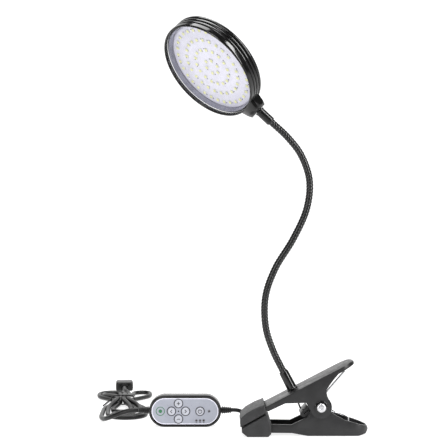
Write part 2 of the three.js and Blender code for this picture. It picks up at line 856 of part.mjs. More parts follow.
// ---- cords ----
const LAMP_CORD_ROUTE = [
  [-6, 17.3, 6.5],
  [-6.3, 20.6, 6.2],
  [-7.9, 24.2, 5.4],
  [-11, 27.2, 4.4],
  [-15.4, 28.8, 3.2],
  [-20.5, 29, 2.2],
  [-26, 28.6, 1.6],
  [-32, 28, 1.5],
  [-38, 27.4, 2.2],
  [-43.5, 26.8, 4.6],
  [-48.5, 26.3, 7.8],
  [-53.5, 26, 10.3],
  [-57.6, 26, 11.3],
  [-60.3, 26, 11.3],
].map(([x, y, z]) => V(x, y, z));

// In the hank's own axes: along, side, height.
const USB_START_ROUTE = [
  [-87.4, 11, 11.3],
  [-87.2, 7, 11.1],
  [-86, 1, 9.9],
  [-82.8, -5, 7.2],
  [-77.5, -10.2, 4.4],
  [-70.5, -13.6, 2.4],
  [-66.6, -14.8, 1.9],
].map(([along, side, z]) => V(side, along, z));

const USB_END_ROUTE = [
  [54.4, PLUG_SIDE, 3.4],
  [57, PLUG_SIDE, 3.5],
  [60, PLUG_SIDE, 3.7],
  [PLUG_START - GAP, PLUG_SIDE, PLUG_Z],
].map(([along, side, z]) => V(side, along, z));

function hankSolid() {
  const shape = new THREE.Shape();
  shape.moveTo(-9, 0);
  shape.bezierCurveTo(-11, 14, -20.6, 22, -20.6, 35);
  shape.bezierCurveTo(-20.6, 47, -12, 54, -5, 54);
  shape.lineTo(12, 54);
  shape.bezierCurveTo(19, 54, 22.6, 44, 22.6, 36);
  shape.bezierCurveTo(22.6, 24, 11, 14, 9, 0);
  shape.bezierCurveTo(11, -16, 19, -28, 19, -44);
  shape.bezierCurveTo(19, -58, 12, -66, 3, -66);
  shape.lineTo(-17, -66);
  shape.bezierCurveTo(-17.4, -40, -12, -18, -9, 0);
  return upright(shape, 0, HANK_HEIGHT, 0, 5);
}

function twistTie() {
  const [inner, outer, top] = [9.4, 10.3, HANK_HEIGHT + GAP];
  const arch = cut(
    box(-outer, outer, -1.3, 1.3, 0.2, top + 0.9),
    box(-inner, inner, -3, 3, -1, top),
  );
  return join(arch, strut(V(-outer + 0.3, 0, 4.6), V(-15.2, -11, 2), 0.9));
}

// ---- USB plug, drawn along +Y in the hank's axes ----
function plugMould() {
  const y = PLUG_START;
  const [bootX, bootZ] = [BOOT.width / 2, BOOT.height / 2];
  const boot = box(-bootX, bootX, y, y + BOOT.length + 0.5, -bootZ, bootZ);
  const grip = roundedBar(MOULD.width, MOULD.height, MOULD.length, 1.6);
  grip.translate(0, y + BOOT.length, 0);
  const socketEnd = y + BOOT.length + MOULD.length;
  const [w, h] = [USB_SHELL.width / 2 + GAP, USB_SHELL.height / 2 + GAP];
  const socket = box(-w, w, socketEnd - 6, socketEnd + 5, -h, h);
  return cut(join(boot, grip), socket);
}

// A bar along +Y with a rounded rectangle for its section.
function roundedBar(width, height, length, r) {
  const [w, h] = [width / 2 - r, height / 2 - r];
  const shape = new THREE.Shape();
  shape.absarc(w, -h, r, -Math.PI / 2, 0);
  shape.absarc(w, h, r, 0, Math.PI / 2);
  shape.absarc(-w, h, r, Math.PI / 2, Math.PI);
  shape.absarc(-w, -h, r, Math.PI, 1.5 * Math.PI);
  return upright(shape, -length, length, 0, 4).rotateX(Math.PI / 2);
}

const SHELL_END = PLUG_START + BOOT.length + MOULD.length + USB_SHELL.out;
const SHELL_START = SHELL_END - USB_SHELL.out - 5.6;

function plugShell() {
  const { width, height, wall } = USB_SHELL;
  const outer = box(-width / 2, width / 2, SHELL_START, SHELL_END, -height / 2, height / 2);
  const [w, h] = [width / 2 - wall, height / 2 - wall];
  const bore = box(-w, w, SHELL_START + 1, SHELL_END + 1, -h, h);
  const windows = [-1, 1].map((side) => {
    const x = side * 2.9;
    return box(x - 1.25, x + 1.25, SHELL_END - 7, SHELL_END - 4.7, -5, 5);
  });
  return cut(outer, bore, ...windows);
}

function plugTongue() {
  return box(-5.3, 5.3, SHELL_START + 1 + GAP, SHELL_END - 0.6, -1.55, 0.3);
}

function plugContact(place) {
  const x = (place - 1.5) * 2.3;
  return box(x - 0.5, x + 0.5, SHELL_END - 8.6, SHELL_END - 1, 0.6, 0.8);
}

function addUsbLead(parent) {
  const hank = new THREE.Group();
  hank.position.copy(HANK_TIE);
  hank.rotation.z = RAD(HANK_TURN);
  parent.add(hank);
  add(hank, "cord_usb_start", tube(USB_START_ROUTE, USB_CORD_R, 10), CORD_BLACK);
  add(hank, "cord_usb_hank", hankSolid(), CORD_BLACK);
  add(hank, "cord_usb_end", tube(USB_END_ROUTE, USB_CORD_R, 4), CORD_BLACK);
  add(hank, "twist_tie", twistTie(), CORD_BLACK);
  const plug = new THREE.Group();
  plug.position.set(PLUG_SIDE, 0, PLUG_Z);
  hank.add(plug);
  add(plug, "plug_mould", plugMould(), CORD_BLACK);
  add(plug, "plug_shell", plugShell(), STEEL);
  add(plug, "plug_tongue", plugTongue(), BOARD_WHITE);
  for (let i = 0; i < 4; i += 1) add(plug, `plug_contact_${i + 1}`, plugContact(i), BRASS);
}

// The thin lead from the neck's nut down to its clamp on the lower arm.
const LEAD_ROUTE = [V(-15.4, 0, 23.5), V(-14.7, 0, 20.8), V(-13.2, 0, 17)];

// ---- assembly ----
function addClip(parent) {
  add(parent, "lower_arm", lowerArm(), CLIP_PLASTIC);
  add(parent, "lower_jaw_cap", lowerCap(), CAP_RUBBER);
  add(parent, "lead_clamp", leadClamp(), GLOSS_BLACK);
  add(parent, "cord_gland", cordGland(), CORD_BLACK);
  add(parent, "pivot_rivet", pivotRivet(), STEEL);
  add(parent, "washer_front", washer(-1), GLOSS_BLACK);
  add(parent, "washer_rear", washer(1), GLOSS_BLACK);
  add(parent, "torsion_spring", torsionSpring(), STEEL);
  const upper = new THREE.Group();
  upper.position.z = PIVOT_Z;
  upper.rotation.y = RAD(-UPPER_TILT);
  parent.add(upper);
  add(upper, "upper_arm", upperArm(), CLIP_PLASTIC);
  add(upper, "upper_jaw_cap", upperCap(), CAP_RUBBER);
  add(upper, "lower_ferrule", lowerFerrule(), GLOSS_BLACK);
  add(upper, "ferrule_nut", ferruleNut(), STEEL);
  add(parent, "lead_wire", tube(LEAD_ROUTE, LEAD_R, 3), CORD_BLACK);
}

const lamp = new THREE.Group();
addClip(lamp);
addNeck(lamp);
addHead(lamp);
addController(lamp);
add(lamp, "cord_lamp", tube(LAMP_CORD_ROUTE, LAMP_CORD_R, 28), CORD_BLACK);
addUsbLead(lamp);

export default lamp;
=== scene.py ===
# Clip-on LED grow light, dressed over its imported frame.
# Lengths are in millimetres until MM turns them to metres; the lights' are in metres.
import json
import math

import bmesh
import bpy
from mathutils import Matrix, Vector


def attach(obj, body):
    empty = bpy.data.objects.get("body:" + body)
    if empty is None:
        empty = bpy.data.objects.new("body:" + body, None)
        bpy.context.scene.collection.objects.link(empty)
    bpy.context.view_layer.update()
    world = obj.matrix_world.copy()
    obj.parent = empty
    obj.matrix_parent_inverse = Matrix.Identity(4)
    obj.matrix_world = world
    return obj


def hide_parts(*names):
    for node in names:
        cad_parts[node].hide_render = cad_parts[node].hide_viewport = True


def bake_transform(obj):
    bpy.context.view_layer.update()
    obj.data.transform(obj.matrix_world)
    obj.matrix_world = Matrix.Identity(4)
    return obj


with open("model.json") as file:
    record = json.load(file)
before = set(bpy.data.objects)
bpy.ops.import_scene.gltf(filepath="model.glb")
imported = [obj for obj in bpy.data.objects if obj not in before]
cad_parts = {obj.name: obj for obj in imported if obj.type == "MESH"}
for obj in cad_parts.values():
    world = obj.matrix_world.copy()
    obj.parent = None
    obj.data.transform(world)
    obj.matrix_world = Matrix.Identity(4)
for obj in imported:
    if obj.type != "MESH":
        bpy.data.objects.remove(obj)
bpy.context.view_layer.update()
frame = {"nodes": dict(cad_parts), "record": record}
NODES = frame["nodes"]
MM = 0.001


def mm(*values):
    return Vector(values) * MM


# ---- camera ----
def make_camera():
    """Level, a little above the middle of the lamp and 720 mm in front of it."""
    data = bpy.data.cameras.new("camera")
    data.sensor_width = 36
    data.lens = 83.9
    camera = bpy.data.objects.new("camera", data)
    camera.location = mm(-66, -720, 144.2)
    camera.rotation_euler = (math.pi / 2, 0, 0)
    bpy.context.collection.objects.link(camera)
    bpy.context.scene.camera = camera


make_camera()


# ---- materials ----
class Shader:
    """A Principled material whose colour, roughness and bump vary with noise in the object's own space."""

    def __init__(self, name, roughness, metallic=0.0, **uniform):
        self.name = name
        self.material = bpy.data.materials.new(name + "_look")
        self.material.use_nodes = True
        self.tree = self.material.node_tree
        self.principled = self.tree.nodes["Principled BSDF"]
        self.principled.inputs["Roughness"].default_value = roughness
        self.principled.inputs["Metallic"].default_value = metallic
        for socket, value in uniform.items():
            self.principled.inputs[socket.replace("_", " ")].default_value = value
        self.coordinates = self.tree.nodes.new("ShaderNodeTexCoord").outputs["Object"]

    def noise(self, size, detail=3.0, stretch=(1, 1, 1)):
        """Noise whose features are about size millimetres."""
        mapping = self.tree.nodes.new("ShaderNodeMapping")
        mapping.inputs["Scale"].default_value = [s / (size * MM) for s in stretch]
        texture = self.tree.nodes.new("ShaderNodeTexNoise")
        texture.inputs["Scale"].default_value = 1.0
        texture.inputs["Detail"].default_value = detail
        self.tree.links.new(self.coordinates, mapping.inputs["Vector"])
        self.tree.links.new(mapping.outputs["Vector"], texture.inputs["Vector"])
        return texture.outputs["Fac"]

    def colour(self, dark, light, size, detail=3.0):
        ramp = self.tree.nodes.new("ShaderNodeValToRGB")
        ramp.color_ramp.elements[0].position = 0.35
        ramp.color_ramp.elements[1].position = 0.65
        ramp.color_ramp.elements[0].color = (*dark, 1)
        ramp.color_ramp.elements[1].color = (*light, 1)
        self.tree.links.new(self.noise(size, detail), ramp.inputs["Fac"])
        self.tree.links.new(ramp.outputs["Color"], self.principled.inputs["Base Color"])
        return self

    def rough(self, low, high, size, stretch=(1, 1, 1)):
        spread = self.tree.nodes.new("ShaderNodeMapRange")
        spread.inputs["From Min"].default_value = 0.3
        spread.inputs["From Max"].default_value = 0.7
        spread.inputs["To Min"].default_value = low
        spread.inputs["To Max"].default_value = high
        self.tree.links.new(self.noise(size, 2.0, stretch), spread.inputs["Value"])
        self.tree.links.new(spread.outputs["Result"], self.principled.inputs["Roughness"])
        return self

    def bump(self, depth, size, strength=0.5, stretch=(1, 1, 1)):
        node = self.tree.nodes.new("ShaderNodeBump")
        node.inputs["Strength"].default_value = strength
        node.inputs["Distance"].default_value = depth * MM
        self.tree.links.new(self.noise(size, 2.0, stretch), node.inputs["Height"])
        self.tree.links.new(node.outputs["Normal"], self.principled.inputs["Normal"])
        return self

    def glow(self, stops):
        """Light given off, changing with depth; the stops are y in metres and brightness."""
        first, last = stops[0][0], stops[-1][0]
        axes = self.tree.nodes.new("ShaderNodeSeparateXYZ")
        spread = self.tree.nodes.new("ShaderNodeMapRange")
        spread.inputs["From Min"].default_value = first
        spread.inputs["From Max"].default_value = last
        ramp = self.tree.nodes.new("ShaderNodeValToRGB")
        elements = ramp.color_ramp.elements
        while len(elements) < len(stops):
            elements.new(0.5)
        for element, (y, brightness) in zip(elements, stops):
            element.position = (y - first) / (last - first)
            element.color = (brightness, brightness, brightness, 1)
        self.tree.links.new(self.coordinates, axes.inputs["Vector"])
        self.tree.links.new(axes.outputs["Y"], spread.inputs["Value"])
        self.tree.links.new(spread.outputs["Result"], ramp.inputs["Fac"])
        self.tree.links.new(ramp.outputs["Color"], self.principled.inputs["Emission Color"])
        self.principled.inputs["Emission Strength"].default_value = 1.0
        return self


def grey(value, blue=1.0):
    return (value, value, value * blue)


def make_materials():
    clip = Shader("clip_plastic", 0.4, IOR=1.42).colour(grey(0.014, 1.04), grey(0.02, 1.04), 9)
    clip.rough(0.3, 0.44, 3).bump(0.03, 0.35, 0.35)
    rubber = Shader("jaw_rubber", 0.5, IOR=1.42).colour(grey(0.02, 1.04), grey(0.028, 1.04), 6)
    rubber.rough(0.4, 0.55, 2.5).bump(0.03, 0.3, 0.4)
    gloss = Shader("gloss_black", 0.14).colour(grey(0.003), grey(0.005), 12)
    gloss.rough(0.08, 0.18, 7).bump(0.006, 1.5, 0.2)
    ferrule = Shader("ferrule_black", 0.16).colour(grey(0.004), grey(0.007), 5)
    ferrule.rough(0.1, 0.2, 3)
    neck = Shader("neck_metal", 0.16).colour(grey(0.003), grey(0.006), 4)
    neck.rough(0.12, 0.24, 1.5).bump(0.006, 0.5, 0.2)
    steel = Shader("bright_steel", 0.3, 0.8).colour(grey(0.6, 1.02), grey(0.72, 1.02), 2)
    steel.rough(0.2, 0.36, 0.8, (1, 6, 1)).bump(0.008, 0.4, 0.25, (1, 6, 1))
    brass = Shader("contact_brass", 0.25, 1.0).colour((0.78, 0.55, 0.2), (0.86, 0.64, 0.28), 1)
    brass.rough(0.2, 0.32, 0.6)
    cord = Shader("cord_sheath", 0.36, IOR=1.4).colour(grey(0.003), grey(0.006), 8)
    cord.rough(0.3, 0.42, 2).bump(0.02, 0.4, 0.3)
    board = Shader("board_white", 0.45).colour((0.8, 0.79, 0.9), (0.86, 0.85, 0.95), 5)
    board.rough(0.4, 0.55, 1.2).bump(0.01, 0.4, 0.2)
    package = Shader("led_package", 0.4).colour((0.72, 0.72, 0.66), (0.8, 0.8, 0.74), 0.8)
    package.rough(0.34, 0.46, 0.6)
    phosphor = Shader("led_phosphor", 0.3).colour((0.86, 0.85, 0.3), (0.94, 0.93, 0.45), 0.5)
    phosphor.rough(0.24, 0.4, 0.4).bump(0.02, 0.2, 0.3)
    wall = Shader("wall_lavender", 0.3).colour((0.2, 0.2, 0.27), (0.27, 0.27, 0.35), 9)
    wall.rough(0.24, 0.36, 3)
    label = Shader("label_grey", 0.34).colour((0.3, 0.312, 0.365), (0.335, 0.347, 0.4), 11)
    label.rough(0.26, 0.36, 1.5)
    button = Shader("button_white", 0.34).colour((0.42, 0.43, 0.48), (0.47, 0.48, 0.53), 3)
    button.rough(0.28, 0.4, 1)
    ink = Shader("label_ink", 0.5).colour(grey(0.02, 1.1), grey(0.035, 1.1), 1)
    ink.rough(0.44, 0.56, 0.6)
    circuit = Shader("circuit_green", 0.4).colour((0.02, 0.12, 0.05), (0.035, 0.17, 0.07), 2)
    circuit.rough(0.34, 0.48, 0.8)
    guide = Shader("light_pipe", 0.2).colour((0.03, 0.02, 0.02), (0.05, 0.035, 0.035), 0.7)
    guide.rough(0.15, 0.28, 0.5)
    lens = Shader("lens_clear", 0.04, Alpha=0.04).colour((0.9, 0.92, 1.0), (0.96, 0.97, 1.0), 20)
    lens.rough(0.03, 0.07, 15)
    made = [clip, rubber, gloss, ferrule, neck, steel, brass, cord, board, package, phosphor, wall]
    made += [label, button, ink, circuit, guide, lens]
    return {shader.name: shader.material for shader in made}


MATERIALS = make_materials()
SLOTS = {s["node"]: s["material_slot"] for s in frame["record"]["subparts"]}


def paint_nodes():
    for name, node in NODES.items():
        node.data.materials.clear()
        node.data.materials.append(MATERIALS[SLOTS[name]])


paint_nodes()


# ---- meshes ----
AXIS_R = 0.01  # a turned solid's ends stay open by this much, so that no point is doubled


def mesh_piece(name, mesh, slot, body=None, replaced=(), material=None, smooth=40):
    """Puts a bmesh in the scene as one piece; edges sharper than smooth, in degrees, stay sharp."""
    bmesh.ops.recalc_face_normals(mesh, faces=mesh.faces)
    data = bpy.data.meshes.new(name)
    mesh.to_mesh(data)
    mesh.free()
    piece = bpy.data.objects.new(name, data)
    bpy.context.collection.objects.link(piece)
    data.materials.append(MATERIALS[material or slot])
    data.shade_smooth()
    data.set_sharp_from_angle(angle=math.radians(smooth))
    if body:
        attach(piece, body)
    if replaced:
        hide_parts(*replaced)
    return piece


def add_rings(mesh, rings):
    """Skins a row of rings of points, all of one count, and caps both ends."""
    rows = [[mesh.verts.new(p) for p in ring] for ring in rings]
    count = len(rows[0])
    for a, b in zip(rows, rows[1:]):
        for i in range(count):
            j = (i + 1) % count
            mesh.faces.new((a[i], a[j], b[j], b[i]))
    mesh.faces.new(rows[0])
    mesh.faces.new(list(reversed(rows[-1])))


def add_band(mesh, rings):
    """Skins a closed row of rings of points: the last ring joins the first."""
    rows = [[mesh.verts.new(p) for p in ring] for ring in rings]
    count = len(rows[0])
    for k, row in enumerate(rows):
        following = rows[(k + 1) % len(rows)]
        for i in range(count):
            j = (i + 1) % count
            mesh.faces.new((row[i], row[j], following[j], following[i]))


def circle_points(radius, height, place, segments):
    """Points in metres on a circle about +Z of place."""
    turns = [2 * math.pi * i / segments for i in range(segments)]
    return [place @ mm(radius * math.cos(a), radius * math.sin(a), height) for a in turns]


def add_turned(mesh, profile, place, segments=64):
    """A turned solid about +Z of place; the profile is radius and height, from end to end."""
    add_rings(mesh, [circle_points(max(r, AXIS_R), z, place, segments) for r, z in profile])


def add_turned_ring(mesh, profile, place, segments=64):
    """A turned ring: the profile is a closed loop of radius and height."""
    add_band(mesh, [circle_points(r, z, place, segments) for r, z in profile])


def add_tube(mesh, points, radius, sides=12):
    """A round tube along points in metres; radius is in millimetres."""
    up = None
    rings = []
    for i, point in enumerate(points):
        ahead = points[min(i + 1, len(points) - 1)] - points[max(i - 1, 0)]
        ahead.normalize()
        if up is None:
            up = ahead.orthogonal().normalized()
        up = (up - ahead * up.dot(ahead)).normalized()
        side = ahead.cross(up)
        turns = [2 * math.pi * k / sides for k in range(sides)]
        rings.append([point + (up * math.cos(a) + side * math.sin(a)) * radius * MM for a in turns])
    add_rings(mesh, rings)


def add_box(mesh, low, high, place, bevel=0.0):
    """A box between two corners, its edges rounded by bevel."""
    made = bmesh.ops.create_cube(mesh, size=1)["verts"]
    size = [b - a for a, b in zip(low, high)]
    middle = [(a + b) / 2 for a, b in zip(low, high)]
    for vert in made:
        vert.co = place @ mm(*[m + s * c for m, s, c in zip(middle, size, vert.co)])
    if bevel:
        edges = list({edge for vert in made for edge in vert.link_edges})
        bmesh.ops.bevel(mesh, geom=edges, offset=bevel * MM, segments=2, affect="EDGES", profile=0.5)


def stadium_points(length, height, z, place, count=24):
    """A closed outline with half-round ends, as points in metres."""
    r = height / 2
    x = length / 2 - r
    points = []
    for side, start in ((1, -90), (-1, 90)):
        for i in range(count + 1):
            a = math.radians(start + 180 * i / count)
            points.append(place @ mm(side * x + r * math.cos(a), r * math.sin(a), z))
    return points


def add_stadium(mesh, length, height, profile, place):
    """A solid with stadium outlines; the profile is inset and height, from back to front."""
    add_rings(mesh, [stadium_points(length - 2 * i, height - 2 * i, z, place) for i, z in profile])


def add_stadium_ring(mesh, length, height, profile, place):
    """A closed stadium-shaped band; the profile is a closed loop of inset and height."""
    add_band(mesh, [stadium_points(length - 2 * i, height - 2 * i, z, place) for i, z in profile])


def softened(node_name, name, width, body, segments=3, angle=30):
    """A copy of a CAD node whose edges over angle degrees are rounded by width."""
    mesh = bmesh.new()
    mesh.from_mesh(NODES[node_name].data)
    bmesh.ops.remove_doubles(mesh, verts=mesh.verts, dist=0.02 * MM)
    bmesh.ops.dissolve_limit(mesh, angle_limit=math.radians(2), verts=mesh.verts, edges=mesh.edges)
    limit = math.radians(angle)
    sharp = [e for e in mesh.edges if len(e.link_faces) == 2 and e.calc_face_angle(0) > limit]
    bmesh.ops.bevel(
        mesh,
        geom=sharp,
        offset=width * MM,
        segments=segments,
        profile=0.5,
        affect="EDGES",
        clamp_overlap=True,
    )
    return mesh_piece(name, mesh, SLOTS[node_name], body, [node_name])


# ---- cords ----
USB_CORD = 3.4
LAMP_CORD = 2.8
FLOOR_Z = 1.75  # centre of a strand that lies on the floor
TIE_RISE = 0.9  # the tie's wire passes under the strands
TIE_STEP = 1.8  # side step between neighbours at the tie, where they lie in two layers
WIDE_STEP = 3.6  # and where they lie side by side
FRONT_WIDE = 31
FAR_WIDE = 36
HANK = Matrix.Translation(mm(-146.6, 112, 0)) @ Matrix.Rotation(math.radians(5.6), 4, "Z")

LAMP_ROUTE = [
    (-6, 17.3, 6.5),
    (-6.3, 20.6, 6.2),
    (-7.9, 24.2, 5.4),
    (-11, 27.2, 4.4),
    (-15.4, 28.8, 3.2),
    (-20.5, 29, 2.2),
    (-26, 28.6, 1.6),
    (-32, 28, 1.5),
    (-38, 27.4, 2.2),
    (-43.5, 26.8, 4.6),
    (-48.5, 26.3, 7.8),
    (-53.5, 26, 10.3),
    (-57.6, 26, 11.3),
    (-62.5, 26, 11.3),
]

# In the hank's own axes: along, side, height. The tie is at along 0.
USB_START = [
    (-87.4, 11, 11.3),
    (-87.2, 7, 11.1),
    (-86, 1, 9.9),
    (-82.8, -5, 7.2),
    (-77.5, -10.2, 4.4),
    (-70.5, -13.6, 2.4),
    (-62, -15.6, 1.75),
    (-52, -15.8, 1.75),
    (-42, -15.2, 1.75),
]
USB_END = [
    (36, 5.4, 1.75),
    (42, 5.3, 1.9),
    (47, 4.5, 2.4),
    (51.5, 2.8, 3.0),
    (56, 1.6, 3.45),
    (60, 1.5, 3.7),
    (65.5, 1.5, 3.75),
]

# Each strand's side at the tie, at the wide part in front of it and behind it, and its layer.
STRANDS = {
    1: (-5.4, -14.6, -19.4, 0),
    2: (-3.6, -11.0, -15.8, 1),
    3: (-1.8, -7.4, -1.8, 0),
    4: (0.0, 6.2, 1.8, 1),
    5: (1.8, 9.8, 5.4, 0),
    6: (3.6, 13.4, 9.0, 1),
    7: (5.4, 17.0, 22.8, 0),
}


def smooth_step(x):
    x = min(max(x, 0.0), 1.0)
    return x * x * (3 - 2 * x)


def strand_point(place, along):
    """A point of the strand that has this place in the tie, in the hank's own axes."""
    tie, front, far, layer = STRANDS[place]
    spread = smooth_step(abs(along) / (FRONT_WIDE if along < 0 else FAR_WIDE))
    side = tie + spread * ((front if along < 0 else far) - tie)
    step = TIE_STEP + spread * (WIDE_STEP - TIE_STEP)
    lift = math.sqrt(max(0.0, (1.08 * USB_CORD) ** 2 - step**2))
    return (along, side, FLOOR_Z + TIE_RISE * (1 - spread) + layer * lift)


def strand(place, alongs):
    return [strand_point(place, along) for along in alongs]


def floor_arc(along, side, radius, start, end, count):
    """Points on a level arc; at 0 degrees it is towards +side and at 90 towards +along."""
    turns = [math.radians(start + (end - start) * k / (count - 1)) for k in range(count)]
    return [(along + radius * math.sin(a), side + radius * math.cos(a), FLOOR_Z) for a in turns]


def usb_route():
    """In from the controller, three loops in front of the tie and three behind it, and out to the plug."""
    far = [6, 12, 18, 24, 30]
    front = [-5, -10, -15, -20, -25]
    from_far = far[::-1]
    from_front = front[::-1]
    route = USB_START + strand(1, [-31] + from_front + [0] + far)
    route += floor_arc(41.4, -8.8, 10.6, 180, 0, 9)
    route += strand(4, from_far + [0] + front)
    route += floor_arc(-33, -0.6, 6.8, 0, -180, 9)
    route += strand(3, from_front + [0] + far)
    route += floor_arc(40, -8.8, 7, 0, 180, 9)
    route += strand(2, from_far + [0] + front + [-31])
    route += [(-40, -11.3, FLOOR_Z)] + floor_arc(-50.2, 3.1, 14, -180, 0, 9) + [(-40, 17.1, FLOOR_Z)]
    route += strand(7, [-31] + from_front + [0] + far)
    route += floor_arc(43, 15.9, 6.9, 0, 180, 9)
    route += strand(6, from_far + [0] + front + [-31])
    route += [(-38, 13.4, FLOOR_Z), (-44, 13.4, FLOOR_Z)] + floor_arc(-50, 5.4, 8, 0, -90, 4)
    route += floor_arc(-50.8, -0.1, 7.2, -90, -270, 7)
    route += floor_arc(-33.2, -0.6, 10.4, -75, 0, 5)
    route += strand(5, from_front + [0] + far)
    return route + USB_END


def from_hank(points):
    return [HANK @ mm(side, along, height) for along, side, height in points]


def cord_curve(name, points, diameter, replaced):
    """A round cord through points in metres, as a curve."""
    curve = bpy.data.curves.new(name, "CURVE")
    curve.dimensions = "3D"
    curve.bevel_depth = diameter / 2 * MM
    curve.bevel_resolution = 5
    curve.resolution_u = 6
    curve.use_fill_caps = True
    spline = curve.splines.new("BEZIER")
    spline.bezier_points.add(len(points) - 1)
    for knot, point in zip(spline.bezier_points, points):
        knot.co = point
        knot.handle_left_type = "AUTO"
        knot.handle_right_type = "AUTO"
    curve.materials.append(MATERIALS["cord_sheath"])
    piece = bpy.data.objects.new(name, curve)
    bpy.context.collection.objects.link(piece)
    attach(piece, "base")
    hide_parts(*replaced)
    return piece


LAMP_POINTS = [mm(*point) for point in LAMP_ROUTE]
USB_POINTS = from_hank(usb_route())
lamp_cord = cord_curve("lamp_cord", LAMP_POINTS, LAMP_CORD, ["cord_lamp"])
usb_cord = cord_curve("usb_cord", USB_POINTS, USB_CORD, ["cord_usb_start", "cord_usb_hank", "cord_usb_end"])


# ---- gooseneck: a spiral-wound tube, one stretch round each joint ----
NECK_R = 2.5
NECK_PITCH = 2.25
NECK_GROOVE = 0.42
NECK_STUB = 8
NECK_LINKS = 7
NECK_OVERRUN = 4  # inside each ferrule
WIRE_ROUND = 1.94  # at 2 the wound wire's back would be a full half-circle
NECK_POINTS = [
    (-24.9, 42.1),
    (-32.2, 57),
    (-37.2, 73),
    (-37.4, 94),
    (-30.8, 113.2),
    (-18.2, 134),
    (-8.9, 155),
    (-7.1, 174.5),
    (-13, 192),
    (-22.3, 204.2),
    (-33.4, 214.6),
]


def centripetal(points, per_span):
    """Points on the centripetal Catmull-Rom curve through the points given."""
    ends = [2 * points[0] - points[1]] + points + [2 * points[-1] - points[-2]]
    curve = []
    for i in range(len(points) - 1):
        p = ends[i : i + 4]
        t = [0.0]
        for a, b in zip(p, p[1:]):
            t.append(t[-1] + (b - a).length ** 0.5)
        for k in range(per_span):
            u = t[1] + (t[2] - t[1]) * k / per_span
            level = p
            for width in (1, 2, 3):
                pairs = enumerate(zip(level, level[1:]))
                level = [mix_at(a, b, *span_of(t, j, width), u) for j, (a, b) in pairs]
            curve.append(level[0])
    return curve + [points[-1]]


def span_of(t, j, width):
    """The span over which two neighbours are mixed at one level of the curve's construction."""
    if width == 3:
        return t[1], t[2]
    return t[j], t[j + width]


def mix_at(a, b, start, end, u):
    return a + (b - a) * ((u - start) / (end - start))


NECK_SAMPLES = centripetal([mm(x, 0, z) for x, z in NECK_POINTS], 60)
NECK_LENGTHS = [0.0]
for before, after in zip(NECK_SAMPLES, NECK_SAMPLES[1:]):
    NECK_LENGTHS.append(NECK_LENGTHS[-1] + (after - before).length / MM)
NECK_LENGTH = NECK_LENGTHS[-1]


def neck_at(length):
    """The point on the neck's centreline, and its direction there; both run straight on past the ends."""
    inside = min(max(length, 0.0), NECK_LENGTH)
    k = 1
    while k < len(NECK_LENGTHS) - 1 and NECK_LENGTHS[k] < inside:
        k += 1
    share = (inside - NECK_LENGTHS[k - 1]) / (NECK_LENGTHS[k] - NECK_LENGTHS[k - 1])
    direction = (NECK_SAMPLES[k] - NECK_SAMPLES[k - 1]).normalized()
    point = NECK_SAMPLES[k - 1].lerp(NECK_SAMPLES[k], share)
    return point + direction * (length - inside) * MM, direction


def wound_radius(length, turn):
    """Radius of the tube's outside, with one round-backed wire in every pitch."""
    phase = (length / NECK_PITCH - turn / (2 * math.pi)) % 1.0 - 0.5
    return NECK_R - NECK_GROOVE * (1 - math.sqrt(max(0.0, 1 - (WIRE_ROUND * phase) ** 2)))


def neck_stretch(start, end):
    """The wound tube from one length along the neck to another."""
    mesh = bmesh.new()
    sides = 20
    steps = max(2, round((end - start) / (NECK_PITCH / 8)))
    rings = []
    for i in range(steps + 1):
        length = start + (end - start) * i / steps
        centre, direction = neck_at(length)
        across = Vector((direction.z, 0, -direction.x))
        ring = []
        for k in range(sides):
            turn = 2 * math.pi * k / sides
            out = across * math.cos(turn) + Vector((0, 1, 0)) * math.sin(turn)
            ring.append(centre + out * wound_radius(length, turn) * MM)
        rings.append(ring)
    add_rings(mesh, rings)
    return mesh


def make_neck():
    link = (NECK_LENGTH - 2 * NECK_STUB) / NECK_LINKS
    joints = [NECK_STUB + i * link for i in range(NECK_LINKS + 1)]
    middles = [j + link / 2 for j in joints[:-1]]
    starts = [-NECK_OVERRUN] + middles
    ends = middles + [NECK_LENGTH + NECK_OVERRUN]
    for i, joint in enumerate(joints):
        mesh = neck_stretch(starts[i], ends[i])
        replaced = ["neck_root"] if i == 0 else [f"neck_link_{i}"]
        if i == NECK_LINKS:
            replaced.append("neck_tip")
        piece = mesh_piece(f"neck_stretch_{i + 1}", mesh, "neck_metal", smooth=60)
        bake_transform(piece)
        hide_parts(*replaced)


make_neck()


# ---- clip ----
PIVOT_Z = 19.7
UPPER_TILT = 27.3  # slope of the upper arm's plate, degrees
PIVOT = Matrix.Translation(mm(0, 0, PIVOT_Z))
UPPER = PIVOT @ Matrix.Rotation(math.radians(-UPPER_TILT), 4, "Y")
ALONG_Y = Matrix.Rotation(-math.pi / 2, 4, "X")
ALONG_X = Matrix.Rotation(math.pi / 2, 4, "Y")
RIVET_OUT = 13.5  # inner face of either rivet head
EDGE_SOFT = 0.45
CAP_SOFT = 1.7
SPRING_R = 3.3
SPRING_WIRE = 0.7
SPRING_Y = 5.8
SPRING_TURNS = 8
LOWER_LEG = 21.5
LOWER_SLOPE = -16
UPPER_LEG = 29
UPPER_SLOPE = 21.6  # from the upper arm's plate
LEAD_R = 0.6
GLAND_X = -6
GLAND_Z = 6.5
NECK_FOOT = -11.8  # along the upper arm's plate from the pivot


def make_arms():
    softened("lower_arm", "lower_arm_shell", EDGE_SOFT, "base")
    softened("upper_arm", "upper_arm_shell", EDGE_SOFT, "clip_upper")
    softened("lower_jaw_cap", "lower_jaw_pad", CAP_SOFT, "base", 5, 20)
    softened("upper_jaw_cap", "upper_jaw_pad", CAP_SOFT, "clip_upper", 5, 20)
    softened("lead_clamp", "lead_clamp_block", 0.25, "base")


